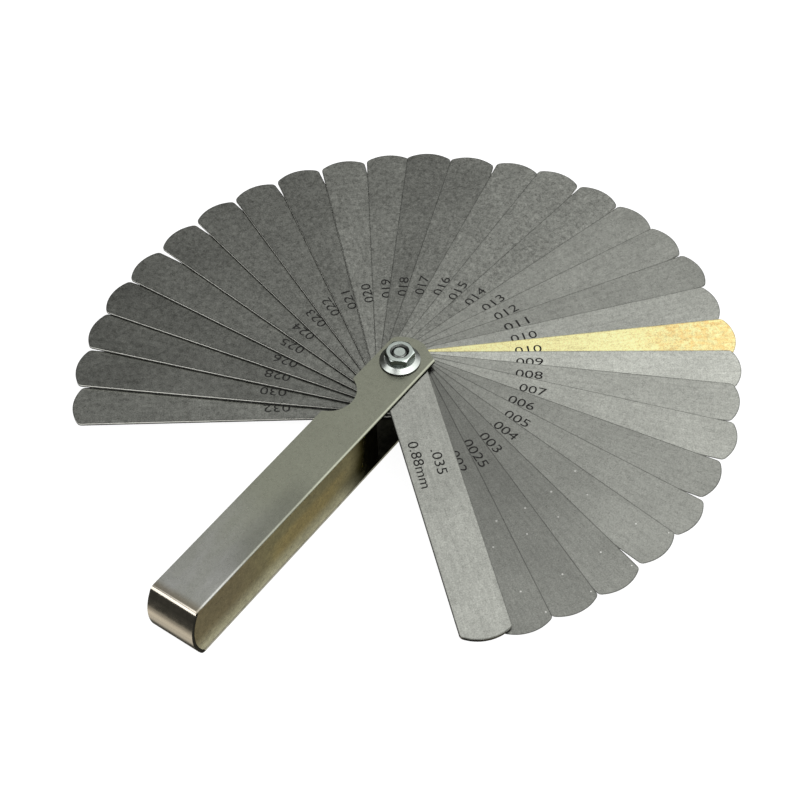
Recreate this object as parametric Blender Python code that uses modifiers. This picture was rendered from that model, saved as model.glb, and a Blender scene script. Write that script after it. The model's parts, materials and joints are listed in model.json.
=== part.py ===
"""Feeler gauge: thirty-two thickness leaves fanned out on one bolt, in a folded sheet case.

Metres, +Z up. The bolt's axis is Z, the case runs along -Y from it and its closed side is
at +X. Z = 0 is the underside of the bolt's head, the lowest flat of the tool.
"""

import math

import bmesh
import bpy
from mathutils import Vector

MM = 0.001
THOU = 0.0254 * MM

# Leaf blank: half an inch wide, its length given for each leaf below.
LEAF_WIDTH = 12.7 * MM
TIP_RADIUS = 10.4 * MM
TIP_CORNER = 1.5 * MM
LEAF_HOLE = 2.2 * MM
LEAF_GAP = 0.075 * MM

# The stack from the bottom up: name, thickness in thousandths of an inch, how far the leaf is
# swung open from the case in degrees, and its length from the bolt's axis in millimetres.
LEAVES = [
    ("leaf_032", 32, 53.5, 87.9),
    ("leaf_030", 30, 62.1, 89.0),
    ("leaf_028", 28, 70.8, 89.2),
    ("leaf_026", 26, 79.2, 89.4),
    ("leaf_025", 25, 87.8, 89.0),
    ("leaf_024", 24, 97.0, 88.7),
    ("leaf_023", 23, 106.0, 88.9),
    ("leaf_022", 22, 114.8, 88.7),
    ("leaf_021", 21, 123.8, 88.7),
    ("leaf_020", 20, 132.8, 88.2),
    ("leaf_019", 19, 141.7, 88.3),
    ("leaf_018", 18, 149.6, 88.4),
    ("leaf_017", 17, 158.2, 87.9),
    ("leaf_016", 16, 167.2, 88.6),
    ("leaf_015", 15, 175.4, 89.6),
    ("leaf_014", 14, 184.4, 89.5),
    ("leaf_013", 13, 193.2, 89.4),
    ("leaf_012", 12, 201.5, 89.6),
    ("leaf_011", 11, 210.3, 89.9),
    ("leaf_010", 10, 218.9, 88.5),
    ("leaf_010_brass", 10, 227.4, 89.3),
    ("leaf_009", 9, 235.1, 89.0),
    ("leaf_008", 8, 243.0, 88.3),
    ("leaf_007", 7, 251.8, 89.1),
    ("leaf_006", 6, 260.8, 88.5),
    ("leaf_005", 5, 269.8, 89.4),
    ("leaf_004", 4, 278.1, 88.6),
    ("leaf_003", 3, 287.3, 89.2),
    ("leaf_0025", 2.5, 295.8, 89.2),
    ("leaf_002", 2, 304.1, 89.5),
    ("leaf_0015", 1.5, 310.6, 88.0),
    ("leaf_035", 35, 310.7, 88.8),
]
CLOSED_ANGLE = -90.0

# Case: one sheet folded into two cheeks joined by a bowed end strap, and a side wall folded
# down from the top cheek. Distances run outward from the bolt's axis, and across towards the
# closed side.
SHEET = 0.8 * MM
CLOSED_SIDE = 7.5 * MM
OPEN_SIDE = 6.45 * MM
FOLD_RADIUS = 0.7 * MM
CASE_END = 92.1 * MM
END_BOW = 2.7 * MM
END_FOLD = 1.7 * MM
WALL_START = 20.5 * MM
WALL_CORNER = 1.6 * MM
SEAM = 0.12 * MM
NOSE_RADIUS = 8.5 * MM
NOSE_REACH = 167.0
NOSE_CORNER = (-5.2 * MM, CLOSED_SIDE)
NOSE_CORNER_RADIUS = 0.4 * MM
SCALLOP_CENTRE = (18.6 * MM, -8.85 * MM)
SCALLOP_RADIUS = 7.0 * MM
SCALLOP_NEAR_RADIUS = 1.0 * MM
SCALLOP_FAR_RADIUS = 0.8 * MM
CASE_HOLE = 2.2 * MM

# Fasteners: an M4 bolt, nut and washer.
SEAT_GAP = 0.05 * MM
BOLT_RADIUS = 2.0 * MM
ACROSS_FLATS = 7.0 * MM
HEX_SIDES = 6
HEAD_HEIGHT = 2.2 * MM
NUT_HEIGHT = 2.3 * MM
NUT_TURN = 1.3
NUT_BORE = 2.1 * MM
NUT_SINK = 2.55 * MM
HEX_FACE_INSET = 0.15 * MM
BOLT_CHAMFER = 0.55 * MM
BOLT_RECESS = 0.3 * MM
WASHER_RADIUS = 5.4 * MM
WASHER_HOLE = 2.2 * MM
WASHER_THICKNESS = 1.4 * MM
WASHER_SEAT = 4.15 * MM
WASHER_RIM = 0.45 * MM
HEX_CHAMFER_ANGLE = 30
SMOOTH_BELOW = 30

LEAF_STACK = sum(leaf[1] for leaf in LEAVES) * THOU + (len(LEAVES) + 1) * LEAF_GAP
CASE_BOTTOM = HEAD_HEIGHT + SEAT_GAP
CASE_HEIGHT = LEAF_STACK + 2 * SHEET
CASE_TOP = CASE_BOTTOM + CASE_HEIGHT
CASE_MIDDLE = (CASE_BOTTOM + CASE_TOP) / 2
BOW_RADIUS = ((CASE_HEIGHT / 2) ** 2 + END_BOW**2) / (2 * END_BOW)
WASHER_BOTTOM = CASE_TOP + SEAT_GAP
NUT_BOTTOM = WASHER_BOTTOM + WASHER_THICKNESS + SEAT_GAP
NUT_TOP = NUT_BOTTOM + NUT_HEIGHT
BOLT_TOP = NUT_TOP - BOLT_RECESS
HEX_CORNER = ACROSS_FLATS / 2 / math.cos(math.pi / HEX_SIDES)

# How far a cutter runs past what it cuts, and how close two points are one.
CLEAR = 5.0 * MM
WELD = 0.0001 * MM

# How many straight pieces each curve is made of.
ROUND_STEPS = 48
HOLE_STEPS = 24
TAIL_STEPS = 14
TIP_STEPS = 12
NOSE_STEPS = 14
SCALLOP_STEPS = 16
BOW_STEPS = 16
FOLD_STEPS = 6
CORNER_STEPS = 3

STEEL = (0.46, 0.46, 0.45)
BRASS = (0.78, 0.66, 0.27)
CASE_STEEL = (0.42, 0.42, 0.36)
ZINC = (0.72, 0.74, 0.72)
LEAF_ROUGHNESS = 0.35
CASE_ROUGHNESS = 0.3
ZINC_ROUGHNESS = 0.22


def clear_scene():
    for obj in list(bpy.data.objects):
        bpy.data.objects.remove(obj, do_unlink=True)


def collection(name):
    made = bpy.data.collections.new(name)
    bpy.context.scene.collection.children.link(made)
    return made


def finish(obj, colour, roughness):
    """Give a piece its own metal."""
    metal = bpy.data.materials.new(obj.name)
    metal.use_nodes = True
    shader = metal.node_tree.nodes["Principled BSDF"]
    shader.inputs["Base Color"].default_value = (*colour, 1.0)
    shader.inputs["Metallic"].default_value = 1.0
    shader.inputs["Roughness"].default_value = roughness
    obj.data.materials.append(metal)


def smooth_round(mesh):
    mesh.shade_smooth()
    mesh.set_sharp_from_angle(angle=math.radians(SMOOTH_BELOW))


def hide_cutter(obj):
    obj.hide_render = True
    obj.display_type = "WIRE"


# ---- outlines ----


def arc(centre, radius, start, end, steps):
    """Points along an arc, both ends included; angles in degrees."""
    points = []
    for step in range(steps + 1):
        angle = math.radians(start + (end - start) * step / steps)
        points.append(
            (centre[0] + radius * math.cos(angle), centre[1] + radius * math.sin(angle))
        )
    return points


def rounded(corners, steps):
    """The closed outline through corners (x, y, radius), each radius made an arc."""
    outline = []
    for index, (x, y, radius) in enumerate(corners):
        here = Vector((x, y))
        if not radius:
            outline.append((x, y))
            continue
        back = (Vector(corners[index - 1][:2]) - here).normalized()
        ahead = (Vector(corners[(index + 1) % len(corners)][:2]) - here).normalized()
        half = back.angle(ahead) / 2
        centre = here + (back + ahead).normalized() * radius / math.sin(half)
        first = here + back * radius / math.tan(half) - centre
        last = here + ahead * radius / math.tan(half) - centre
        start = math.degrees(math.atan2(first.y, first.x))
        turn = math.degrees(math.atan2(last.y, last.x)) - start
        turn = (turn + 180) % 360 - 180
        outline += arc(centre, radius, start, start + turn, steps)
    return outline


def sharp(points):
    return [(x, y, 0) for x, y in points]


def leaf_outline(length):
    """A straight leaf along +X with its bolt hole at the origin, a round tail and a bowed tip."""
    half = LEAF_WIDTH / 2
    tip_centre = (length - TIP_RADIUS, 0)
    spread = math.degrees(math.asin(half / TIP_RADIUS))
    tip = sharp(arc(tip_centre, TIP_RADIUS, -spread, spread, TIP_STEPS))
    tip[0] = (*tip[0][:2], TIP_CORNER)
    tip[-1] = (*tip[-1][:2], TIP_CORNER)
    tail = sharp(arc((0, 0), half, 90, 270, TAIL_STEPS))
    return rounded(tip + tail, CORNER_STEPS)


def case_plan():
    """The cheek seen from above: nose, thumb scallop in the open edge, and the long straight run."""
    nose_start = math.degrees(math.asin(OPEN_SIDE / NOSE_RADIUS))
    scallop_reach = math.degrees(
        math.asin((-OPEN_SIDE - SCALLOP_CENTRE[1]) / SCALLOP_RADIUS)
    )
    nose = sharp(arc((0, 0), NOSE_RADIUS, 180 + nose_start, NOSE_REACH, NOSE_STEPS))
    nose[0] = (*nose[0][:2], SCALLOP_NEAR_RADIUS)
    scallop = sharp(
        arc(SCALLOP_CENTRE, SCALLOP_RADIUS, scallop_reach, 180 - scallop_reach, SCALLOP_STEPS)
    )
    scallop[0] = (*scallop[0][:2], SCALLOP_FAR_RADIUS)
    scallop[-1] = (*scallop[-1][:2], SCALLOP_NEAR_RADIUS)
    past_end = CASE_END + END_BOW + CLEAR
    run = [
        (*NOSE_CORNER, NOSE_CORNER_RADIUS),
        (past_end, CLOSED_SIDE, 0),
        (past_end, -OPEN_SIDE, 0),
    ]
    outward_across = rounded(nose + run + scallop, CORNER_STEPS)
    return [(across, -outward) for outward, across in outward_across]


def end_arc(inset, low, high):
    """The end's outward bow seen from its side, (y, z), set in by inset, from high down to low."""
    centre = (-(CASE_END + END_BOW - BOW_RADIUS), CASE_MIDDLE)
    radius = BOW_RADIUS - inset
    top = 180 - math.degrees(math.asin((high - CASE_MIDDLE) / radius))
    bottom = 180 - math.degrees(math.asin((low - CASE_MIDDLE) / radius))
    return sharp(arc(centre, radius, top, bottom, BOW_STEPS))


def bowed_end(inset):
    """The case seen from its side, (y, z): straight cheeks folded into the bowed end, made
    smaller all round by inset."""
    low, high = CASE_BOTTOM + inset, CASE_TOP - inset
    end = end_arc(inset, low, high)
    end[0] = (*end[0][:2], END_FOLD - inset)
    end[-1] = (*end[-1][:2], END_FOLD - inset)
    past_nose = NOSE_RADIUS + CLEAR
    return rounded(end + [(past_nose, low, 0), (past_nose, high, 0)], FOLD_STEPS)


def wall_side():
    """The side wall seen from its side, (y, z), a seam clear of the strap and the bottom cheek."""
    low = CASE_BOTTOM + SHEET + SEAM
    end = end_arc(SHEET + SEAM, low, CASE_TOP)
    end[-1] = (*end[-1][:2], WALL_CORNER)
    return rounded(end + [(-WALL_START, low, 0), (-WALL_START, CASE_TOP, 0)], FOLD_STEPS)


def fold_waste():
    """What lies outside the fold between the top cheek and the side wall, (x, z)."""
    centre = (CLOSED_SIDE - FOLD_RADIUS, CASE_TOP - FOLD_RADIUS)
    bend = arc(centre, FOLD_RADIUS, 0, 90, FOLD_STEPS)
    past_top, past_side = CASE_TOP + CLEAR, CLOSED_SIDE + CLEAR
    return bend + [(centre[0], past_top), (past_side, past_top), (past_side, centre[1])]


# ---- solids ----


def flat_curve(name, outlines, thickness):
    """A flat 2D curve through each outline, the second one a hole, extruded to a plate."""
    data = bpy.data.curves.new(name, "CURVE")
    data.dimensions = "2D"
    data.fill_mode = "BOTH"
    data.extrude = thickness / 2
    for outline in outlines:
        spline = data.splines.new("POLY")
        spline.points.add(len(outline) - 1)
        for point, (x, y) in zip(spline.points, outline):
            point.co = (x, y, 0, 1)
        spline.use_cyclic_u = True
    return bpy.data.objects.new(name, data)


def as_mesh(curve, into):
    """Replace a curve by its welded mesh, in the given collection."""
    into.objects.link(curve)
    bpy.context.view_layer.update()
    graph = bpy.context.evaluated_depsgraph_get()
    mesh = bpy.data.meshes.new_from_object(curve.evaluated_get(graph))
    name, place = curve.name, curve.matrix_world.copy()
    bpy.data.objects.remove(curve)
    welded = bmesh.new()
    welded.from_mesh(mesh)
    bmesh.ops.remove_doubles(welded, verts=welded.verts, dist=WELD)
    bmesh.ops.recalc_face_normals(welded, faces=welded.faces)
    welded.to_mesh(mesh)
    welded.free()
    solid = bpy.data.objects.new(name, mesh)
    solid.matrix_world = place
    into.objects.link(solid)
    return solid


def prism(name, outline, low, high, along, into):
    """A solid with this outline, from low to high along Z (plan), X (side) or Y (section)."""
    curve = flat_curve(name, [outline], high - low)
    middle = (low + high) / 2
    quarter = math.radians(90)
    if along == "Z":
        curve.location = (0, 0, middle)
    elif along == "X":
        curve.location = (middle, 0, 0)
        curve.rotation_euler = (quarter, 0, quarter)
    else:
        curve.location = (0, middle, 0)
        curve.rotation_euler = (quarter, 0, 0)
    return as_mesh(curve, into)


def turned(name, profile, into, closed=False):
    """A round piece from (radius, z) points run from top to bottom on its outer side."""
    mesh = bpy.data.meshes.new(name)
    count = len(profile)
    edges = [(i, i + 1) for i in range(count - 1)]
    if closed:
        edges.append((count - 1, 0))
    mesh.from_pydata([(radius, 0, z) for radius, z in profile], edges, [])
    obj = bpy.data.objects.new(name, mesh)
    into.objects.link(obj)
    screw = obj.modifiers.new("turn", "SCREW")
    screw.axis = "Z"
    screw.steps = screw.render_steps = ROUND_STEPS
    screw.use_merge_vertices = True
    screw.merge_threshold = WELD
    screw.use_smooth_shade = False
    return obj


def hexagon(name, low, high, into):
    """A six-sided prism on the Z axis, set to the nut's turn."""
    mesh = bpy.data.meshes.new(name)
    shape = bmesh.new()
    bmesh.ops.create_cone(
        shape,
        cap_ends=True,
        segments=HEX_SIDES,
        radius1=HEX_CORNER,
        radius2=HEX_CORNER,
        depth=high - low,
    )
    shape.to_mesh(mesh)
    shape.free()
    obj = bpy.data.objects.new(name, mesh)
    obj.location.z = (low + high) / 2
    obj.rotation_euler.z = math.radians(NUT_TURN)
    into.objects.link(obj)
    return obj


def block(name, low, high, into):
    mesh = bpy.data.meshes.new(name)
    shape = bmesh.new()
    bmesh.ops.create_cube(shape, size=1.0)
    size = Vector(high) - Vector(low)
    bmesh.ops.scale(shape, vec=size, verts=shape.verts)
    shape.to_mesh(mesh)
    shape.free()
    obj = bpy.data.objects.new(name, mesh)
    obj.location = (Vector(low) + Vector(high)) / 2
    into.objects.link(obj)
    return obj


def combine(obj, operation, other):
    boolean = obj.modifiers.new(other.name, "BOOLEAN")
    boolean.operation = operation
    boolean.solver = "EXACT"
    boolean.object = other
    hide_cutter(other)


# ---- pieces ----


def make_leaf(name, thickness, opening, length, bottom, parts):
    """One thickness leaf, its origin on the bolt's axis and its length along its own +X."""
    hole = arc((0, 0), LEAF_HOLE, 360, 0, HOLE_STEPS)[1:]
    leaf = flat_curve(name, [leaf_outline(length), hole], thickness)
    leaf.location.z = bottom + thickness / 2
    leaf.rotation_euler.z = math.radians(CLOSED_ANGLE - opening)
    parts.objects.link(leaf)
    finish(leaf, BRASS if "brass" in name else STEEL, LEAF_ROUGHNESS)


def make_leaves(parts):
    bottom = CASE_BOTTOM + SHEET + LEAF_GAP
    for name, thou, opening, length in LEAVES:
        thickness = thou * THOU
        make_leaf(name, thickness, opening, length * MM, bottom, parts)
        bottom += thickness + LEAF_GAP


def make_case(parts, cutters):
    """The folded case: plan and side forms intersected, then hollowed between its cheeks."""
    past_open = -(OPEN_SIDE + CLEAR)
    past_closed = CLOSED_SIDE + CLEAR
    past_end = CASE_END + END_BOW + CLEAR
    case = prism("case", case_plan(), CASE_BOTTOM - CLEAR, CASE_TOP + CLEAR, "Z", parts)
    side = prism("case_side", bowed_end(0), past_open, past_closed, "X", cutters)
    combine(case, "INTERSECT", side)

    hollow = prism("case_hollow", bowed_end(SHEET), past_open, past_closed, "X", cutters)
    wall = prism(
        "side_wall", wall_side(), CLOSED_SIDE - SHEET, past_closed + CLEAR, "X", cutters
    )
    combine(hollow, "DIFFERENCE", wall)
    combine(case, "DIFFERENCE", hollow)

    past_nose = NOSE_RADIUS + CLEAR
    fold = prism("wall_fold", fold_waste(), -past_end, past_nose, "Y", cutters)
    combine(case, "DIFFERENCE", fold)
    hole = turned(
        "case_hole",
        [(0, CASE_TOP + CLEAR), (CASE_HOLE, CASE_TOP + CLEAR), (CASE_HOLE, 0), (0, 0)],
        cutters,
    )
    combine(case, "DIFFERENCE", hole)
    finish(case, CASE_STEEL, CASE_ROUGHNESS)
    smooth_round(case.data)


def hex_form(name, low, high, low_cut, high_cut, cutters):
    """The turned form that takes the corners off a hexagon's low face, high face or both."""
    face = ACROSS_FLATS / 2 - HEX_FACE_INSET
    wide = HEX_CORNER + HEX_FACE_INSET
    fall = (wide - face) * math.tan(math.radians(HEX_CHAMFER_ANGLE))
    if high_cut:
        top = [(0, high), (face, high), (wide, high - fall)]
    else:
        top = [(0, high + CLEAR), (wide, high + CLEAR)]
    if low_cut:
        bottom = [(wide, low + fall), (face, low), (0, low)]
    else:
        bottom = [(wide, low - CLEAR), (0, low - CLEAR)]
    return turned(name, top + bottom, cutters)


def make_nut(parts, cutters):
    nut = hexagon("nut", NUT_BOTTOM, NUT_TOP, parts)
    chamfer = hex_form("nut_chamfer", NUT_BOTTOM, NUT_TOP, True, True, cutters)
    combine(nut, "INTERSECT", chamfer)
    sink = NUT_SINK - NUT_BORE
    bore = [
        (0, NUT_TOP + CLEAR),
        (NUT_SINK + CLEAR, NUT_TOP + CLEAR),
        (NUT_BORE, NUT_TOP - sink),
        (NUT_BORE, NUT_BOTTOM + sink),
        (NUT_SINK + CLEAR, NUT_BOTTOM - CLEAR),
        (0, NUT_BOTTOM - CLEAR),
    ]
    combine(nut, "DIFFERENCE", turned("nut_bore", bore, cutters))
    finish(nut, ZINC, ZINC_ROUGHNESS)
    smooth_round(nut.data)


def make_washer(parts):
    """A coned ring with a flat seat for the nut and an upright rim."""
    low, high = WASHER_BOTTOM, WASHER_BOTTOM + WASHER_THICKNESS
    profile = [(WASHER_HOLE, low), (WASHER_HOLE, high)]
    profile.append((WASHER_SEAT, high))
    profile.append((WASHER_RADIUS, low + WASHER_RIM))
    profile.append((WASHER_RADIUS, low))
    washer = turned("washer", profile, parts, closed=True)
    finish(washer, ZINC, ZINC_ROUGHNESS)
    smooth_round(washer.data)


def make_bolt(parts, cutters):
    """Hexagon-headed bolt standing on its head, its end just below the nut's face."""
    bolt = hexagon("bolt", 0, HEAD_HEIGHT, parts)
    chamfer = hex_form("head_chamfer", 0, HEAD_HEIGHT, True, False, cutters)
    combine(bolt, "INTERSECT", chamfer)
    shank = [
        (0, BOLT_TOP),
        (BOLT_RADIUS - BOLT_CHAMFER, BOLT_TOP),
        (BOLT_RADIUS, BOLT_TOP - BOLT_CHAMFER),
        (BOLT_RADIUS, HEAD_HEIGHT / 2),
        (0, HEAD_HEIGHT / 2),
    ]
    combine(bolt, "UNION", turned("bolt_shank", shank, cutters))
    finish(bolt, ZINC, ZINC_ROUGHNESS)
    smooth_round(bolt.data)


clear_scene()
gauge = collection("feeler_gauge")
cutting = collection("cutters")
make_case(gauge, cutting)
make_leaves(gauge)
make_bolt(gauge, cutting)
make_washer(gauge)
make_nut(gauge, cutting)
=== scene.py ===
import json
import math

import bmesh
import bpy
from mathutils import Matrix, Vector


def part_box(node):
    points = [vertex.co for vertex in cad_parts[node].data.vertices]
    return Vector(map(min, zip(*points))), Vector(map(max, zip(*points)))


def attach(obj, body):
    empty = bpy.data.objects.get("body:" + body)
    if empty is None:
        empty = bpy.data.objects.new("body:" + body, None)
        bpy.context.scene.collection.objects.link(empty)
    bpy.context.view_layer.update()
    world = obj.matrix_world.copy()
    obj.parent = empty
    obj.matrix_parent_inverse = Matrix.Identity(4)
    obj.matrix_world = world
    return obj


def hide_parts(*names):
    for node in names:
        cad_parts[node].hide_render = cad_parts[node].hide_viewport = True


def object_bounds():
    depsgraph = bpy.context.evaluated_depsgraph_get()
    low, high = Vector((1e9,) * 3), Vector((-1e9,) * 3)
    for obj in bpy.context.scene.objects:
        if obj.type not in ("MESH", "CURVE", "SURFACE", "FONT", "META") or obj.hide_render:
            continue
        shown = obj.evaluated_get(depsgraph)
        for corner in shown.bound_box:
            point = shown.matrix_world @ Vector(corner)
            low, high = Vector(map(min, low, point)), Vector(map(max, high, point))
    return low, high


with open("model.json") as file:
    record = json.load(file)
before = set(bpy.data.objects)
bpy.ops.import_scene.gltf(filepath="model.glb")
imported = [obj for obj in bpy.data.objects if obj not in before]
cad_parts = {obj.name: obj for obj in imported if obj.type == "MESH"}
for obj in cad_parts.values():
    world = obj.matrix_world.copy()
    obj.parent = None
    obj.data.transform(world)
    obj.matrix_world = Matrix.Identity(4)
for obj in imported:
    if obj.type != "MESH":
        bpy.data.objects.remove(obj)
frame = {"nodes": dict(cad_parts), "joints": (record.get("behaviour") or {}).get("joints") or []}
cad_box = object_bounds()

MM = 0.001

# Each leaf: what is etched on it in inches and in millimetres, its length in millimetres, its painted
# lightness (painted light and shade for how light falls on its grain), and how far out its inch mark
# starts in millimetres.
LEAVES = {
    "leaf_032": (".032", "0.80mm", 87.9, 0.23, 28.6),
    "leaf_030": (".030", "0.75mm", 89.0, 0.18, 29.7),
    "leaf_028": (".028", "0.70mm", 89.2, 0.175, 29.4),
    "leaf_026": (".026", "0.65mm", 89.4, 0.17, 28.8),
    "leaf_025": (".025", "0.63mm", 89.0, 0.21, 29.2),
    "leaf_024": (".024", "0.60mm", 88.7, 0.205, 29.4),
    "leaf_023": (".023", "0.58mm", 88.9, 0.22, 29.8),
    "leaf_022": (".022", "0.55mm", 88.7, 0.225, 30.2),
    "leaf_021": (".021", "0.53mm", 88.7, 0.215, 29.3),
    "leaf_020": (".020", "0.50mm", 88.2, 0.28, 29.5),
    "leaf_019": (".019", "0.48mm", 88.3, 0.25, 29.6),
    "leaf_018": (".018", "0.45mm", 88.4, 0.2, 29.5),
    "leaf_017": (".017", "0.43mm", 87.9, 0.22, 29.9),
    "leaf_016": (".016", "0.40mm", 88.6, 0.27, 30.3),
    "leaf_015": (".015", "0.38mm", 89.6, 0.28, 29.8),
    "leaf_014": (".014", "0.35mm", 89.5, 0.28, 30.0),
    "leaf_013": (".013", "0.33mm", 89.4, 0.315, 30.9),
    "leaf_012": (".012", "0.30mm", 89.6, 0.32, 30.9),
    "leaf_011": (".011", "0.28mm", 89.9, 0.295, 30.5),
    "leaf_010": (".010", "0.25mm", 88.5, 0.38, 30.2),
    "leaf_010_brass": (".010", "0.25mm", 89.3, 1, 29.8),
    "leaf_009": (".009", "0.23mm", 89.0, 0.52, 29.4),
    "leaf_008": (".008", "0.20mm", 88.3, 0.375, 29.1),
    "leaf_007": (".007", "0.18mm", 89.1, 0.38, 30.7),
    "leaf_006": (".006", "0.15mm", 88.5, 0.28, 29.1),
    "leaf_005": (".005", "0.13mm", 89.4, 0.285, 30.4),
    "leaf_004": (".004", "0.10mm", 88.6, 0.245, 30.3),
    "leaf_003": (".003", "0.08mm", 89.2, 0.205, 30.2),
    "leaf_0025": (".0025", "0.06mm", 89.2, 0.18, 29.4),
    "leaf_002": (".002", "0.05mm", 89.5, 0.185, 31.0),
    "leaf_0015": (".0015", "0.04mm", 88.0, 0.2, 30.0),
    "leaf_035": (".035", "0.88mm", 88.8, 0.39, 30.6),
}

# The leaves' finish: the metals, which leaves are dusty or fine-grained (by how their names
# start), how far out from the bolt each change sets in, how much and where the dusty leaves are
# lightened towards the tip, and how dark the painted shade in the rims is. The painted shadow
# along the lower part of an edge sets in between two heights from the leaf's middle.
STEEL = (1.0, 1.02, 0.93)
BRASS = (1.0, 0.915, 0.46)
BRASS_TIP = (0.98, 0.69, 0.28)
DUSTY = ("leaf_004", "leaf_003", "leaf_0025", "leaf_002")
FINE_GRAINED = ("leaf_00", "leaf_010", "leaf_011", "leaf_012", "leaf_013", "leaf_035")
DUST = (0.80, 0.80, 0.76)
DUST_REACH = (40 * MM, 62 * MM)
DUST_PER_METRE = 420.0
DUST_RADIUS = 0.11
DUSTLESS_SHARE = 0.45
DUST_COVER = 0.55
# How much lighter the dusty leaves get towards the tip, and where.
TIP_LIGHTENING = 1.16
TIP_LIGHTENING_REACH = (45 * MM, 82 * MM)
TARNISH_REACH = (56 * MM, 78 * MM)
STEEL_RIM_SHADE = 0.45
BRASS_RIM_SHADE = 0.62
EDGE_SHADOW = (0.10 * MM, -0.03 * MM)

# How finely round outlines are divided, and what counts as one point or one flat.
TIP_STEPS = 40
CORNER_STEPS = 8
ROUND_STEPS = 48
STRIP_WELD = 0.0001 * MM
COPY_WELD = 0.001 * MM
STRIP_SHARP = math.radians(20)
COPY_SHARP = math.radians(35)
FLAT_WITHIN = math.radians(0.5)

# Leaf blank, as in the CAD.
LEAF_WIDTH = 12.7 * MM
TIP_RADIUS = 10.4 * MM
TIP_CORNER = 1.5 * MM
LEAF_HOLE = 2.2 * MM
CLOSED_ANGLE = -90.0
EDGE_EASE = 0.05 * MM
RIM = 0.32 * MM
THICK_BLANK = 0.35 * MM

# Case, as in the CAD.
CASE_BOTTOM = 2.25 * MM
CASE_TOP = 18.75 * MM
CLOSED_SIDE = 7.5 * MM
BOW_START = 90.0 * MM
BOW_CENTRE = (CLOSED_SIDE, -80.85 * MM, 10.5 * MM)
WALL_REACH = 13.05 * MM
SHEET = 0.8 * MM
CASE_EASE = 0.05 * MM

# The case's finish: its colours, painted light and shade among them, and between which two places
# along it (away from the bolt is -Y), across it or up it each of them sets in.
CHEEK_OLIVE = (0.275, 0.284, 0.224)
CHEEK_BLUE = (0.325, 0.330, 0.300)
CHEEK_BLUE_ALONG = (-50 * MM, -85 * MM)
CHEEK_CLOUD = (0.41, 0.41, 0.40)
# A darker band on the cheek near the closed side, partway along.
CHEEK_DARK_BAND = (0.15, 0.155, 0.13)
CHEEK_DARK_BAND_ACROSS = (-1 * MM, 5 * MM)
CHEEK_DARK_BAND_START = (-40 * MM, -56 * MM)
CHEEK_DARK_BAND_END = (-86 * MM, -72 * MM)
# Painted brown shade where the cheek bends into the bowed end.
CHEEK_BROWN_SHADE = (0.20, 0.17, 0.12)
CHEEK_BROWN_SHADE_ALONG = (-88.8 * MM, -91.2 * MM)
WALL_OLIVE = (0.37, 0.345, 0.195)
WALL_GOLD = (0.48, 0.41, 0.195)
WALL_GOLD_START = (-33 * MM, -42 * MM)
WALL_GOLD_END = (-68 * MM, -58 * MM)
WALL_GOLD_TOP = (15.5 * MM, 12.5 * MM)
WALL_GOLD_FOOT = (5.0 * MM, 9.0 * MM)
WALL_BLUSH = (0.36, 0.30, 0.20)
WALL_BLUSH_ALONG = (-62 * MM, -80 * MM)
# Painted reflection of the lit paper, low on the wall.
WALL_PAINTED_REFLECTION = (0.88, 0.89, 0.70)
WALL_PAINTED_REFLECTION_UP = (10.0 * MM, 2.6 * MM)
# Painted shadow on the wall by the bolt, and its damped glare.
WALL_PAINTED_SHADOW = (0.02, 0.02, 0.014)
WALL_PAINTED_SHADOW_GLARE = (0.05, 0.05, 0.04)
WALL_PAINTED_SHADOW_ALONG = (-37 * MM, -25 * MM)
WALL_FOOT = (0.90, 0.92, 0.84)
WALL_FOOT_HEIGHT = 0.1 * MM
# Painted shade on the strap's edge in the seam.
STRAP_EDGE_SHADE = (0.015, 0.015, 0.012)
STRAP_EDGE_WIDTH = 0.06 * MM
STRAP_EDGE_ALONG = (-86 * MM, -88 * MM)
STRAP_METAL = (0.62, 0.57, 0.49)
# Painted shadow along the strap's foot.
STRAP_FOOT_SHADOW = (0.03, 0.028, 0.022)
STRAP_FOOT_SHADOW_UP = (6.2 * MM, 4.2 * MM)
# Painted shade inside the case by the bolt, fading to plain steel.
INSIDE_SHADE = (0.035, 0.034, 0.026)
INSIDE_STEEL = (0.20, 0.198, 0.17)
INSIDE_STEEL_ALONG = (-28 * MM, -48 * MM)

# Fasteners, as in the CAD.
WASHER_RIM = 0.45 * MM
NUT_EASE = 0.10 * MM
WASHER_EASE = 0.05 * MM
BOLT_EASE = 0.08 * MM
# Height of the painted black shade at the foot of the washer's rim.
RIM_SHADE_HEIGHT = 0.12 * MM
THREAD_PITCH = 0.7 * MM
THREAD_REACH = 2.7 * MM
ZINC = (0.52, 0.58, 0.54)
# The nut's flanks: a darker copy of the zinc, painted shade.
FLANK_ZINC_SHADED = (0.085, 0.10, 0.09)
WASHER_ZINC = (0.50, 0.53, 0.50)
THREAD = (0.15, 0.16, 0.15)
# Colour of the washer rim's painted black shade.
RIM_SHADE = (0.02, 0.02, 0.018)

# Noise patterns hardly leave this part of their range from 0 to 1.
NOISE_DARK = 0.3
NOISE_LIGHT = 0.7

# Etched marks: how much room their characters take along the leaf and across it, and how far
# the two lines of leaf_035 sit to the side of the others'.
INCH_POINT = 0.45 * MM
INCH_DIGIT = 2.55 * MM
INCH_ACROSS = (1.3 * MM, 3.9 * MM)
METRIC_ALONG = (26.8 * MM, 42.0 * MM)
METRIC_ACROSS = (-5.1 * MM, -2.4 * MM)
MARK_SHIFT_035 = (-0.8 * MM, 0.5 * MM)
MARK_LIFT = 0.003 * MM
MARK_THICKNESS = 0.006 * MM

# The stage, in metres.
FLOOR_RADIUS = 2.5
FLOOR_DROP = 0.02 * MM
BACKDROP_RADIUS = 2.4

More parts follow.
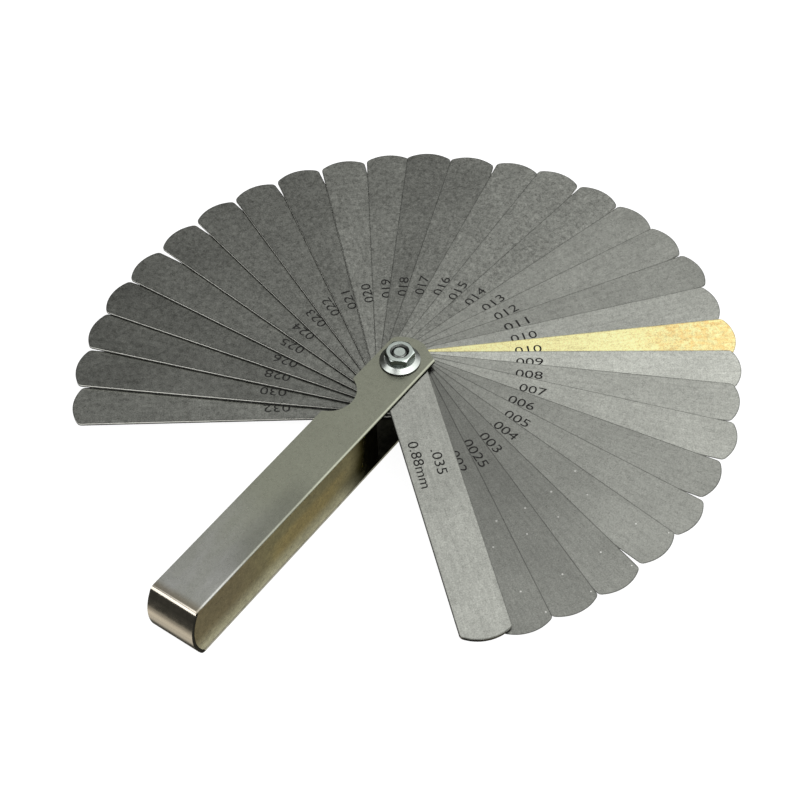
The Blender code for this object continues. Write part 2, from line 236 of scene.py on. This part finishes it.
# The light overhead: the way to its middle, its strength, how far round it reaches (a cosine),
# and where it fades out on the camera's side. Then what is left everywhere.
SKY_AIM = (0.45, 0.25, 0.857)
SKY_STRENGTH = 2.27
SKY_REACH = 0.39
SKY_FADE = (-0.35, 0.15)
AMBIENT = (0.05, 0.05, 0.045)

# Light thrown back by the paper, that the strap and the side wall mirror: the way to it, how far
# round it reaches and is full (degrees), and its colour.
BOUNCES = (
    ((-0.40, -0.46, -0.79), 24, 4, (0.64, 0.60, 0.52)),
    ((0.45, 0.45, -0.77), 60, 30, (0.27, 0.25, 0.20)),
)

# Lamps, all as far off as each other: the way to each, its size in metres and its power.
LAMP_DISTANCE = 1.4
LAMPS = {
    "front": ((-0.40, -0.60, 0.69), 0.95, 5.0),
    "side": ((0.62, -0.14, 0.77), 0.8, 5.0),
    "above": ((0.35, -0.46, 0.82), 0.7, 2.5),
    "low": ((0.55, -0.80, 0.25), 1.7, 8.0),
}

# The camera: what it looks at, how far off, how high, and which way round.
TARGET = Vector((-0.734, 0.296, 2.25)) * MM
CAMERA_DISTANCE = 523.1 * MM
CAMERA_ELEVATION = math.radians(49.23)
CAMERA_BEARING = math.radians(-52.39)
CAMERA_ROLL = math.radians(-2.25)
LENS = 87.97


# ---- node helpers ----


def add(tree, kind, sockets=None, **settings):
    """A node with these settings. A socket value that is an output is linked, any other is set."""
    node = tree.nodes.new(kind)
    for name, value in settings.items():
        setattr(node, name, value)
    for key, value in (sockets or {}).items():
        if isinstance(value, bpy.types.NodeSocket):
            tree.links.new(value, node.inputs[key])
        else:
            node.inputs[key].default_value = value
    return node


def noise(tree, coords, scale, seed, stretch=(1, 1, 1), detail=2.0, rough=0.5):
    """A noise pattern in the piece's own frame; scale is in repeats per metre."""
    stretched = add(
        tree, "ShaderNodeVectorMath", {0: coords, 1: stretch}, operation="MULTIPLY"
    )
    pattern = add(
        tree,
        "ShaderNodeTexNoise",
        {"Vector": stretched.outputs[0], "W": seed, "Scale": scale, "Detail": detail, "Roughness": rough},
        noise_dimensions="4D",
    )
    return pattern.outputs["Fac"]


def mapped(tree, value, low, high, from_low=0.0, from_high=1.0):
    """value spread from one range over another."""
    return add(
        tree,
        "ShaderNodeMapRange",
        {"Value": value, "From Min": from_low, "From Max": from_high, "To Min": low, "To Max": high},
    ).outputs["Result"]


def spread(tree, pattern, low, high):
    """A noise pattern's usual run, from its dark parts to its light ones, over this range."""
    return mapped(tree, pattern, low, high, NOISE_DARK, NOISE_LIGHT)


def math_node(tree, operation, a, b):
    return add(tree, "ShaderNodeMath", {0: a, 1: b}, operation=operation).outputs[0]


def blank_material(name):
    material = bpy.data.materials.new(name)
    material.use_nodes = True
    tree = material.node_tree
    tree.nodes.clear()
    return material, tree


def scaled(tree, colour, share):
    return add(
        tree, "ShaderNodeVectorMath", {0: colour, "Scale": share}, operation="SCALE"
    ).outputs[0]


def blended(tree, share, first, second):
    """One colour over another, by share."""
    mix = add(tree, "ShaderNodeMix", {0: share}, data_type="RGBA")
    for socket, value in ((mix.inputs[6], first), (mix.inputs[7], second)):
        if isinstance(value, bpy.types.NodeSocket):
            tree.links.new(value, socket)
        else:
            socket.default_value = (*value, 1.0)
    return mix.outputs[2]


def smooth_step(tree, value, low, high):
    return add(
        tree,
        "ShaderNodeMapRange",
        {"Value": value, "From Min": low, "From Max": high},
        interpolation_type="SMOOTHSTEP",
    ).outputs["Result"]


def product(tree, *shares):
    total = shares[0]
    for share in shares[1:]:
        total = math_node(tree, "MULTIPLY", total, share)
    return total


def object_place(tree):
    """The piece's own coordinates, whole and split."""
    coords = add(tree, "ShaderNodeTexCoord").outputs["Object"]
    split = add(tree, "ShaderNodeSeparateXYZ", {0: coords})
    return coords, split.outputs


def metal_shader(tree, colour, roughness, relief, depth=0.01 * MM, glare=(1, 1, 1, 1)):
    """Finish a metal: this colour, this gloss, relief as fine bumps, and glare at low angles."""
    bump = add(
        tree, "ShaderNodeBump", {"Height": relief, "Strength": 0.5, "Distance": depth}
    )
    shader = add(
        tree,
        "ShaderNodeBsdfPrincipled",
        {
            "Base Color": colour,
            "Metallic": 1.0,
            "Roughness": roughness,
            "Specular Tint": glare,
            "Normal": bump.outputs[0],
        },
    )
    add(tree, "ShaderNodeOutputMaterial", {"Surface": shader.outputs[0]})


def mottle(tree, coords, seed, coarse=0.10, medium=0.26, fine=0.40):
    """Uneven satin: soft clouds, blotches under a millimetre and a fine tooth. Shade and tooth."""
    clouds = noise(tree, coords, 60, seed, detail=2)
    blotches = noise(tree, coords, 700, seed + 0.37, detail=3, rough=0.6)
    tooth = noise(tree, coords, 2600, seed + 0.71, detail=2, rough=0.6)
    shade = product(
        tree,
        spread(tree, clouds, 1 - coarse, 1 + coarse),
        spread(tree, blotches, 1 - medium, 1 + medium),
        spread(tree, tooth, 1 - fine, 1 + fine),
    )
    return shade, blotches, tooth


def plated(name, colour, roughness, seed, rim_top=None):
    """Bright zinc plate: thin clouding and a fine tooth, and painted black shade up to rim_top if given."""
    material, tree = blank_material(name)
    coords, place = object_place(tree)
    shade, blotches, tooth = mottle(tree, coords, seed, 0.10, 0.08, 0.05)
    # Painted shade: the lower edge of the washer is blackened.
    if rim_top is not None:
        painted_shade = smooth_step(tree, place["Z"], rim_top, rim_top - RIM_SHADE_HEIGHT)
        colour = blended(tree, painted_shade, colour, RIM_SHADE)
    gloss = spread(tree, blotches, roughness - 0.04, roughness + 0.08)
    metal_shader(tree, scaled(tree, colour, shade), gloss, tooth, 0.006 * MM)
    return material


def threaded(name, colour, seed):
    """Dark thread: fine rings one above another, with painted shade in their grooves and painted light on
    their crests.
    """
    material, tree = blank_material(name)
    coords, place = object_place(tree)
    shade, blotches, _ = mottle(tree, coords, seed, 0.2, 0.3, 0.2)
    turns = math_node(
        tree, "SINE", math_node(tree, "MULTIPLY", place["Z"], 2 * math.pi / THREAD_PITCH), 0.0
    )
    # Painted shade in the grooves and painted light on the crests.
    shade = product(tree, shade, mapped(tree, turns, 0.5, 1.2, -1.0, 1.0))
    gloss = spread(tree, blotches, 0.3, 0.5)
    metal_shader(tree, scaled(tree, colour, shade), gloss, turns, 0.05 * MM)
    return material


def etched():
    """The dark, dull bottom of an acid-etched mark."""
    material, tree = blank_material("etched_mark")
    coords, _ = object_place(tree)
    patches = noise(tree, coords, 1800, 3.0, detail=3, rough=0.6)
    tone = spread(tree, patches, 0.004, 0.018)
    shader = add(
        tree,
        "ShaderNodeBsdfPrincipled",
        {"Base Color": scaled(tree, (1.0, 0.98, 0.90), tone), "Roughness": 0.8, "Specular IOR Level": 0.25},
    )
    add(tree, "ShaderNodeOutputMaterial", {"Surface": shader.outputs[0]})
    return material


def case_cheek(name):
    """Satin sheet: olive by the bolt, bluer and cloudier towards the bowed end, darker in a band, and with
    painted brown shade where it bends into the bowed end.
    """
    material, tree = blank_material(name)
    coords, place = object_place(tree)
    outward = smooth_step(tree, place["Y"], *CHEEK_BLUE_ALONG)
    shade, blotches, tooth = mottle(tree, coords, 50.0, 0.05, 0.06, 0.10)
    base = blended(tree, outward, CHEEK_OLIVE, CHEEK_BLUE)
    smear = noise(tree, coords, 160, 51.0, stretch=(1.0, 0.35, 1.0), detail=3)
    end_cloud = product(tree, outward, mapped(tree, smear, 0, 1, 0.46, 0.66))
    base = blended(tree, product(tree, end_cloud, 0.6), base, CHEEK_CLOUD)
    # Darker in a band near the closed side, partway along the cheek.
    dark_band = product(
        tree,
        smooth_step(tree, place["X"], *CHEEK_DARK_BAND_ACROSS),
        smooth_step(tree, place["Y"], *CHEEK_DARK_BAND_START),
        smooth_step(tree, place["Y"], *CHEEK_DARK_BAND_END),
    )
    base = blended(tree, product(tree, dark_band, 0.5), base, CHEEK_DARK_BAND)
    # Painted brown shade where the cheek meets the bend.
    end_shade = smooth_step(tree, place["Y"], *CHEEK_BROWN_SHADE_ALONG)
    base = blended(tree, product(tree, end_shade, 0.75), base, CHEEK_BROWN_SHADE)
    gloss = spread(tree, blotches, 0.24, 0.34)
    metal_shader(tree, scaled(tree, base, shade), gloss, tooth, 0.006 * MM)
    return material


def case_wall(name):
    """Tarnished side wall: painted black shadow by the bolt, olive with a golden run, paler down to its
    foot as a painted reflection. The strap's sheared edge beyond the wall's end is painted black as
    shade in the seam."""
    material, tree = blank_material(name)
    coords, place = object_place(tree)
    waver = noise(tree, coords, 90, 70.0, stretch=(1.0, 0.6, 1.0), detail=2, rough=0.4)
    outward = math_node(
        tree, "ADD", place["Y"], spread(tree, waver, -3 * MM, 3 * MM)
    )
    shade, blotches, tooth = mottle(tree, coords, 71.0, 0.16, 0.16, 0.22)
    gold = product(
        tree,
        smooth_step(tree, outward, *WALL_GOLD_START),
        smooth_step(tree, outward, *WALL_GOLD_END),
        smooth_step(tree, place["Z"], *WALL_GOLD_TOP),
        smooth_step(tree, place["Z"], *WALL_GOLD_FOOT),
    )
    base = blended(tree, gold, WALL_OLIVE, WALL_GOLD)
    blush = product(tree, smooth_step(tree, outward, *WALL_BLUSH_ALONG), 0.6)
    base = blended(tree, blush, base, WALL_BLUSH)
    # Painted reflection of the lit paper: paler down towards the foot.
    pale = smooth_step(tree, place["Z"], *WALL_PAINTED_REFLECTION_UP)
    base = blended(tree, pale, base, WALL_PAINTED_REFLECTION)
    # Painted shadow: black by the bolt, where the wall mirrors the shadow under the leaves; its glare is
    # damped there too.
    near = smooth_step(tree, outward, *WALL_PAINTED_SHADOW_ALONG)
    base = blended(tree, near, base, WALL_PAINTED_SHADOW)
    wall_end = CASE_BOTTOM + SHEET
    foot = smooth_step(tree, place["Z"], wall_end, wall_end - WALL_FOOT_HEIGHT)
    base = blended(tree, foot, base, WALL_FOOT)
    # Painted shade in the seam: the strap's sheared edge beyond the wall's end is black.
    reach = add(
        tree, "ShaderNodeVectorMath", {0: coords, 1: BOW_CENTRE}, operation="DISTANCE"
    ).outputs["Value"]
    beyond = product(
        tree,
        smooth_step(tree, reach, WALL_REACH, WALL_REACH + STRAP_EDGE_WIDTH),
        smooth_step(tree, place["Y"], *STRAP_EDGE_ALONG),
    )
    base = blended(tree, beyond, base, STRAP_EDGE_SHADE)
    gloss = spread(tree, blotches, 0.26, 0.42)
    glare = blended(tree, near, (1, 1, 1), WALL_PAINTED_SHADOW_GLARE)
    metal_shader(tree, scaled(tree, base, shade), gloss, tooth, 0.008 * MM, glare)
    return material


def case_inside(name):
    """The inner faces, painted black as shade by the bolt and lighter towards the bowed end."""
    material, tree = blank_material(name)
    coords, place = object_place(tree)
    shade, blotches, tooth = mottle(tree, coords, 80.0, 0.4, 0.4, 0.3)
    gloss = spread(tree, blotches, 0.3, 0.6)
    # Painted shade by the bolt, giving way to the steel towards the bowed end.
    unshaded = smooth_step(tree, place["Y"], *INSIDE_STEEL_ALONG)
    base = blended(tree, unshaded, INSIDE_SHADE, INSIDE_STEEL)
    metal_shader(tree, scaled(tree, base, shade), gloss, tooth)
    return material


def case_strap(name):
    """The bowed end, rubbed smooth, with brushed bands across it and painted black shadow along its foot.
    """
    material, tree = blank_material(name)
    coords, place = object_place(tree)
    bands = noise(tree, coords, 500, 90.0, stretch=(0.02, 1.0, 1.0), detail=2)
    shade, blotches, tooth = mottle(tree, coords, 91.0, 0.08, 0.06, 0.05)
    shade = product(tree, shade, spread(tree, bands, 0.75, 1.25))
    # Painted shadow: black along the strap's foot.
    foot = smooth_step(tree, place["Z"], *STRAP_FOOT_SHADOW_UP)
    colour = scaled(tree, blended(tree, foot, STRAP_METAL, STRAP_FOOT_SHADOW), shade)
    gloss = spread(tree, blotches, 0.14, 0.24)
    metal_shader(tree, colour, gloss, tooth, 0.005 * MM)
    return material


def leaf_faces(name, tone, length, seed):
    """A leaf's flats: mottled satin strip, its lightness painted as light and shade, with painted shade in
    a thin rim, and lighter towards the tip and dusty where DUSTY says so.
    """
    material, tree = blank_material(name)
    coords, place = object_place(tree)
    if name.startswith(FINE_GRAINED):
        shade, blotches, tooth = mottle(tree, coords, seed, 0.08, 0.14, 0.24)
    else:
        shade, blotches, tooth = mottle(tree, coords, seed)
    brushed = noise(tree, coords, 1500, seed + 0.9, stretch=(0.08, 1.0, 1.0), detail=2)
    across = math_node(tree, "ABSOLUTE", place["Y"], 0.0)
    half = LEAF_WIDTH / 2
    # Painted shade: a darker rim along the sides and round the tip.
    side_rim = smooth_step(tree, across, half - RIM, half - RIM / 3)
    from_tip = add(
        tree,
        "ShaderNodeVectorMath",
        {0: coords, 1: (length - TIP_RADIUS, 0, 0)},
        operation="DISTANCE",
    ).outputs["Value"]
    at_tip = math_node(tree, "GREATER_THAN", place["X"], length - TIP_RADIUS)
    tip_rim = product(
        tree, at_tip, smooth_step(tree, from_tip, TIP_RADIUS - RIM, TIP_RADIUS - RIM / 3)
    )
    rim = math_node(tree, "MAXIMUM", side_rim, tip_rim)
    if "brass" in name:
        outward = smooth_step(tree, place["X"], *TARNISH_REACH)
        rust = noise(tree, coords, 500, seed + 2.0, detail=4, rough=0.7)
        stain = product(tree, outward, mapped(tree, rust, 0, 1, 0.40, 0.60))
        base = blended(tree, stain, BRASS, BRASS_TIP)
        rim_shade = BRASS_RIM_SHADE
        tip_lightening = 1.0
    else:
        # The steel's lightness is painted per leaf: painted light and shade for how light falls on its
        # grain.
        base = tuple(tone * part for part in STEEL)
        rim_shade = STEEL_RIM_SHADE
        # Dusty leaves are made lighter towards the tip.
        tip_lightening = TIP_LIGHTENING if name.startswith(DUSTY) else 1.0
    shade = product(
        tree,
        shade,
        spread(tree, brushed, 0.92, 1.08),
        mapped(tree, rim, 1.0, rim_shade),
        mapped(tree, smooth_step(tree, place["X"], *TIP_LIGHTENING_REACH), 1.0, tip_lightening),
    )
    colour = scaled(tree, base, shade)
    if name.startswith(DUSTY):
        cells = add(
            tree, "ShaderNodeTexVoronoi", {"Vector": coords, "Scale": DUST_PER_METRE}
        )
        speck = math_node(tree, "LESS_THAN", cells.outputs["Distance"], DUST_RADIUS)
        chosen = math_node(
            tree,
            "GREATER_THAN",
            add(tree, "ShaderNodeSeparateXYZ", {0: cells.outputs["Color"]}).outputs["X"],
            DUSTLESS_SHARE,
        )
        far = smooth_step(tree, place["X"], *DUST_REACH)
        dust = product(tree, speck, chosen, far)
        colour = blended(tree, product(tree, dust, DUST_COVER), colour, DUST)
    gloss = spread(tree, blotches, 0.25, 0.35)
    metal_shader(tree, colour, gloss, math_node(tree, "ADD", tooth, brushed))
    return material


def leaf_edges(name, colour, metallic, roughness):
    """The sheared edge of a strip: drawn lines along it, and painted shadow along its lower half."""
    material, tree = blank_material(name)
    coords, place = object_place(tree)
    lines = noise(tree, coords, 4000, 5.0, stretch=(0.05, 0.05, 1.0), detail=2)
    shade, blotches, _ = mottle(tree, coords, 6.0, 0.10, 0.10, 0.05)
    # Painted shadow darkens the lower part of the edge.
    painted_shade = smooth_step(tree, place["Z"], *EDGE_SHADOW)
    shade = product(
        tree, shade, spread(tree, lines, 0.9, 1.1), mapped(tree, painted_shade, 1.0, 0.04)
    )
    bump = add(
        tree, "ShaderNodeBump", {"Height": lines, "Strength": 0.4, "Distance": 0.004 * MM}
    )
    shader = add(
        tree,
        "ShaderNodeBsdfPrincipled",
        {
            "Base Color": scaled(tree, colour, shade),
            "Metallic": metallic,
            "Roughness": spread(tree, blotches, roughness - 0.08, roughness + 0.08),
            "Normal": bump.outputs[0],
        },
    )
    add(tree, "ShaderNodeOutputMaterial", {"Surface": shader.outputs[0]})
    return material


# ---- outlines and meshes ----


def arc(centre, radius, start, end, steps):
    """Points along an arc, both ends included; angles in degrees."""
    points = []
    for step in range(steps + 1):
        angle = math.radians(start + (end - start) * step / steps)
        points.append(
            (centre[0] + radius * math.cos(angle), centre[1] + radius * math.sin(angle))
        )
    return points


def leaf_outline(length):
    """The leaf along +X: a bowed tip with its two corners eased, straight edges, a round tail."""
    half = LEAF_WIDTH / 2
    tip_x = length - TIP_RADIUS
    inner = TIP_RADIUS - TIP_CORNER
    corner_y = half - TIP_CORNER
    corner_x = tip_x + math.sqrt(inner**2 - corner_y**2)
    turn = math.degrees(math.atan2(corner_y, corner_x - tip_x))
    tip = arc((tip_x, 0), TIP_RADIUS, -turn, turn, TIP_STEPS)
    upper = arc((corner_x, corner_y), TIP_CORNER, turn, 90, CORNER_STEPS)
    lower = arc((corner_x, -corner_y), TIP_CORNER, -90, -turn, CORNER_STEPS)
    tail = arc((0, 0), half, 90, 270, ROUND_STEPS)
    return lower[:-1] + tip + upper[1:] + tail


def sheet_piece(name, outlines, thickness, ease):
    """A plate with these outlines, the second a hole, and its edges eased, as a mesh object."""
    curve = bpy.data.curves.new(name, "CURVE")
    curve.dimensions = "2D"
    curve.fill_mode = "BOTH"
    curve.extrude = thickness / 2 - ease
    curve.bevel_depth = ease
    curve.bevel_resolution = 1
    curve.offset = -ease
    for outline in outlines:
        spline = curve.splines.new("POLY")
        spline.points.add(len(outline) - 1)
        for point, (x, y) in zip(spline.points, outline):
            point.co = (x, y, 0, 1)
        spline.use_cyclic_u = True
    return solid_from(name, curve)


def solid_from(name, curve):
    """The welded mesh of a curve or text, flat faces flat and round edges smooth."""
    source = bpy.data.objects.new(name + "_curve", curve)
    bpy.context.scene.collection.objects.link(source)
    bpy.context.view_layer.update()
    graph = bpy.context.evaluated_depsgraph_get()
    mesh = bpy.data.meshes.new_from_object(source.evaluated_get(graph))
    bpy.data.objects.remove(source)
    welded = bmesh.new()
    welded.from_mesh(mesh)
    bmesh.ops.remove_doubles(welded, verts=welded.verts, dist=STRIP_WELD)
    bmesh.ops.recalc_face_normals(welded, faces=welded.faces)
    welded.to_mesh(mesh)
    welded.free()
    mesh.shade_smooth()
    mesh.set_sharp_from_angle(angle=STRIP_SHARP)
    mesh.materials.clear()
    obj = bpy.data.objects.new(name, mesh)
    bpy.context.scene.collection.objects.link(obj)
    return obj


def lettering(name, text, along, across):
    """One etched line: text read outward along the leaf, a thin plate that fills this area."""
    letters = bpy.data.curves.new(name, "FONT")
    letters.body = text
    letters.extrude = MARK_THICKNESS / 2
    letters.resolution_u = 4
    line = solid_from(name, letters)
    xs = [vertex.co.x for vertex in line.data.vertices]
    ys = [vertex.co.y for vertex in line.data.vertices]
    wide = (along[1] - along[0]) / (max(xs) - min(xs))
    tall = (across[1] - across[0]) / (max(ys) - min(ys))
    for vertex in line.data.vertices:
        vertex.co.x = along[0] + (vertex.co.x - min(xs)) * wide
        vertex.co.y = across[0] + (vertex.co.y - min(ys)) * tall
    return line


def joined(name, pieces):
    """Several mesh objects made one."""
    whole = bmesh.new()
    for piece in pieces:
        whole.from_mesh(piece.data)
        bpy.data.objects.remove(piece)
    mesh = bpy.data.meshes.new(name)
    whole.to_mesh(mesh)
    whole.free()
    obj = bpy.data.objects.new(name, mesh)
    bpy.context.scene.collection.objects.link(obj)
    return obj


def eased_copy(name, node, width, material):
    """The CAD piece's own form with its flats merged, its sharp edges broken and its rounds smooth."""
    mesh = frame["nodes"][node].data.copy()
    shape = bmesh.new()
    shape.from_mesh(mesh)
    bmesh.ops.remove_doubles(shape, verts=shape.verts, dist=COPY_WELD)
    bmesh.ops.dissolve_limit(
        shape, angle_limit=FLAT_WITHIN, verts=shape.verts, edges=shape.edges
    )
    shape.to_mesh(mesh)
    shape.free()
    mesh.shade_smooth()
    mesh.materials.clear()
    mesh.materials.append(material)
    obj = bpy.data.objects.new(name, mesh)
    bpy.context.scene.collection.objects.link(obj)
    bevel = obj.modifiers.new("ease", "BEVEL")
    bevel.limit_method = "ANGLE"
    bevel.angle_limit = COPY_SHARP
    bevel.width = width
    bevel.segments = 2
    normals = obj.modifiers.new("flats", "WEIGHTED_NORMAL")
    normals.weight = 100
    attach(obj, "root")
    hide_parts(node)
    return obj


# ---- leaves ----


def face_up_or_down(face):
    return abs(face.normal.z) > 0.9


def make_leaf(name, opening, body, seed):
    inches, millimetres, length, tone, start = LEAVES[name]
    length *= MM
    start *= MM
    low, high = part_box(name)
    thickness = high.z - low.z
    turn = Matrix.Rotation(math.radians(CLOSED_ANGLE - opening), 4, "Z")
    hole = arc((0, 0), LEAF_HOLE, 360, 360 / ROUND_STEPS, ROUND_STEPS - 1)
    ease = min(EDGE_EASE, thickness / 5)
    strip = sheet_piece("strip" + name[4:], [leaf_outline(length), hole], thickness, ease)
    strip.data.materials.append(leaf_faces(name + "_faces", tone, length, seed))
    usual_edge = STEEL_EDGE if thickness > THICK_BLANK else THIN_EDGE
    strip.data.materials.append(EDGES.get(name, usual_edge))
    for face in strip.data.polygons:
        face.material_index = 0 if face_up_or_down(face) else 1
    strip.matrix_world = Matrix.Translation((0, 0, (low.z + high.z) / 2)) @ turn
    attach(strip, body)
    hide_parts(name)
    inch_along = (start, start + INCH_POINT + INCH_DIGIT * (len(inches) - 1))
    inch_across, metric_across = INCH_ACROSS, METRIC_ACROSS
    if name == "leaf_035":
        inch_across = tuple(edge + MARK_SHIFT_035[0] for edge in INCH_ACROSS)
        metric_across = tuple(edge + MARK_SHIFT_035[1] for edge in METRIC_ACROSS)
    mark = joined(
        "mark" + name[4:],
        [
            lettering("inch", inches, inch_along, inch_across),
            lettering("metric", millimetres, METRIC_ALONG, metric_across),
        ],
    )
    mark.data.materials.append(ETCHED)
    mark.matrix_world = (
        Matrix.Translation((0, 0, high.z + MARK_LIFT + MARK_THICKNESS / 2)) @ turn
    )
    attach(mark, body)
    return strip, mark


ETCHED = etched()
STEEL_EDGE = leaf_edges("steel_edge", (0.86, 0.86, 0.80), 0.1, 0.6)
THIN_EDGE = leaf_edges("thin_edge", (0.30, 0.30, 0.27), 0.3, 0.5)
# leaf_035's edges are a darker, glossier copy of the steel edge: painted shade for the dark line along its
# tip.
DARK_EDGE = leaf_edges("dark_edge", (0.30, 0.30, 0.27), 1.0, 0.25)
BRASS_EDGE = leaf_edges("brass_edge", (0.75, 0.60, 0.28), 0.8, 0.4)
EDGES = {"leaf_010_brass": BRASS_EDGE, "leaf_035": DARK_EDGE}
for index, joint in enumerate(frame["joints"]):
    leaf = joint["name"][: -len("_swing")]
    strip, mark = make_leaf(leaf, -joint["range_deg"][0], joint["child"], float(index))

# ---- case and fasteners ----


def inner_face(face):
    """Whether this face of the case looks into the space between its cheeks."""
    middle = (CASE_BOTTOM + CASE_TOP) / 2
    return (
        (face.center.z < middle and face.normal.z > 0.5)
        or (face.center.z > middle and face.normal.z < -0.5)
        or (face.normal.x < -0.5 and face.center.x > CLOSED_SIDE - 2 * SHEET)
        or (face.normal.y > 0.2 and face.center.y < -BOW_START)
    )


def strap_face(face):
    return (
        face.center.y < -BOW_START and abs(face.normal.x) < 0.5 and abs(face.normal.z) < 0.99
    )


shell = eased_copy("case_shell", "case", CASE_EASE, case_cheek("case_cheek"))
for material in (case_wall("case_wall"), case_strap("case_strap"), case_inside("case_inside")):
    shell.data.materials.append(material)
for face in shell.data.polygons:
    if inner_face(face):
        face.material_index = 3
    elif face.normal.x > 0.9:
        face.material_index = 1
    elif strap_face(face):
        face.material_index = 2
zinc = plated("zinc", ZINC, 0.16, 60.0)
thread = threaded("thread", THREAD, 61.0)
rim_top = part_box("washer")[0].z + WASHER_RIM
washer_zinc = plated("washer_zinc", WASHER_ZINC, 0.30, 62.0, rim_top)
nut = eased_copy("nut_body", "nut", NUT_EASE, zinc)
nut.data.materials.append(thread)
# The nut's flanks get a darker copy of the zinc as painted shade.
nut.data.materials.append(plated("zinc_flanks_shaded", FLANK_ZINC_SHADED, 0.2, 63.0))
for face in nut.data.polygons:
    if abs(face.normal.z) > 0.99:
        face.material_index = 0
    elif math.hypot(face.center.x, face.center.y) < THREAD_REACH:
        face.material_index = 1
    elif abs(face.normal.z) < 0.1:
        face.material_index = 2
eased_copy("washer_ring", "washer", WASHER_EASE, washer_zinc)
bolt = eased_copy("bolt_body", "bolt", BOLT_EASE, zinc)
bolt.data.materials.append(thread)
for face in bolt.data.polygons:
    on_shank = face.center.z > CASE_BOTTOM and abs(face.normal.z) < 0.99
    face.material_index = 1 if on_shank else 0

# ---- floor, backdrop and light ----


def glow(name, strength, albedo):
    """White stage paint: partly lit, partly glowing, so that it stays near white."""
    material, tree = blank_material(name)
    lit = add(tree, "ShaderNodeBsdfDiffuse", {"Color": (albedo, albedo, albedo, 1)})
    own = add(tree, "ShaderNodeEmission", {"Color": (1, 1, 1, 1), "Strength": strength})
    both = add(tree, "ShaderNodeAddShader", {0: lit.outputs[0], 1: own.outputs[0]})
    add(tree, "ShaderNodeOutputMaterial", {"Surface": both.outputs[0]})
    return material


def stage_piece(name, radius, material, dome):
    mesh = bpy.data.meshes.new(name)
    shape = bmesh.new()
    if dome:
        bmesh.ops.create_uvsphere(shape, u_segments=64, v_segments=32, radius=radius)
    else:
        bmesh.ops.create_circle(shape, cap_ends=True, segments=96, radius=radius)
    shape.to_mesh(mesh)
    shape.free()
    mesh.materials.append(material)
    obj = bpy.data.objects.new(name, mesh)
    bpy.context.scene.collection.objects.link(obj)
    obj.visible_glossy = False
    obj.visible_shadow = False
    obj.visible_diffuse = False
    return obj


floor = stage_piece("floor", FLOOR_RADIUS, glow("floor_paper", 0.94, 0.2), False)
floor.location.z = cad_box[0].z - FLOOR_DROP
stage_piece("backdrop", BACKDROP_RADIUS, glow("backdrop_paper", 1.0, 0.0), True)


def lobe(tree, direction, towards, wide, narrow, colour):
    """A soft round light in the surroundings, full inside narrow and gone outside wide (degrees)."""
    aim = Vector(towards).normalized()
    along = add(
        tree, "ShaderNodeVectorMath", {0: direction, 1: aim}, operation="DOT_PRODUCT"
    )
    share = add(
        tree,
        "ShaderNodeMapRange",
        {
            "Value": along.outputs["Value"],
            "From Min": math.cos(math.radians(wide)),
            "From Max": math.cos(math.radians(narrow)),
        },
        interpolation_type="SMOOTHSTEP",
    )
    return add(
        tree,
        "ShaderNodeVectorMath",
        {0: colour, "Scale": share.outputs["Result"]},
        operation="SCALE",
    ).outputs[0]


def surroundings():
    """A studio lit from overhead and behind, dark on the camera's side, with two glows below."""
    world = bpy.data.worlds.new("studio")
    bpy.context.scene.world = world
    world.use_nodes = True
    tree = world.node_tree
    tree.nodes.clear()
    direction = add(tree, "ShaderNodeTexCoord").outputs["Generated"]
    height = add(
        tree,
        "ShaderNodeVectorMath",
        {0: direction, 1: Vector(SKY_AIM).normalized()},
        operation="DOT_PRODUCT",
    ).outputs["Value"]
    behind = add(tree, "ShaderNodeSeparateXYZ", {0: direction}).outputs["Y"]
    overhead = product(
        tree,
        mapped(tree, height, 0.0, SKY_STRENGTH, SKY_REACH, 1.0),
        smooth_step(tree, behind, *SKY_FADE),
    )
    total = add(
        tree,
        "ShaderNodeVectorMath",
        {0: scaled(tree, (1.0, 1.0, 1.0), overhead), 1: AMBIENT},
        operation="ADD",
    ).outputs[0]
    for towards, wide, narrow, colour in BOUNCES:
        total = add(
            tree,
            "ShaderNodeVectorMath",
            {0: total, 1: lobe(tree, direction, towards, wide, narrow, colour)},
            operation="ADD",
        ).outputs[0]
    light = add(tree, "ShaderNodeBackground", {"Color": total, "Strength": 1.0})
    add(tree, "ShaderNodeOutputWorld", {"Surface": light.outputs[0]})


def soft_light(name, towards, size, power):
    data = bpy.data.lights.new(name, "AREA")
    data.shape = "DISK"
    data.size = size
    data.energy = power
    obj = bpy.data.objects.new(name, data)
    bpy.context.scene.collection.objects.link(obj)
    back = Vector(towards).normalized()
    obj.location = back * LAMP_DISTANCE
    obj.rotation_mode = "QUATERNION"
    obj.rotation_quaternion = back.to_track_quat("Z", "Y")
    obj.visible_camera = False


surroundings()
for lamp, (way, lamp_size, lamp_power) in LAMPS.items():
    soft_light(lamp, way, lamp_size, lamp_power)

# ---- camera ----

lens_data = bpy.data.cameras.new("camera")
lens_data.lens = LENS
lens_data.sensor_width = 36.0
camera = bpy.data.objects.new("camera", lens_data)
bpy.context.scene.collection.objects.link(camera)
bpy.context.scene.camera = camera
back = Vector(
    (
        math.cos(CAMERA_BEARING) * math.cos(CAMERA_ELEVATION),
        math.sin(CAMERA_BEARING) * math.cos(CAMERA_ELEVATION),
        math.sin(CAMERA_ELEVATION),
    )
)
right = Vector((-math.sin(CAMERA_BEARING), math.cos(CAMERA_BEARING), 0))
upright = Matrix((right, back.cross(right), back)).transposed().to_4x4()
camera.matrix_world = (
    Matrix.Translation(TARGET + back * CAMERA_DISTANCE)
    @ upright
    @ Matrix.Rotation(CAMERA_ROLL, 4, "Z")
)
bpy.context.scene.view_settings.view_transform = "Standard"
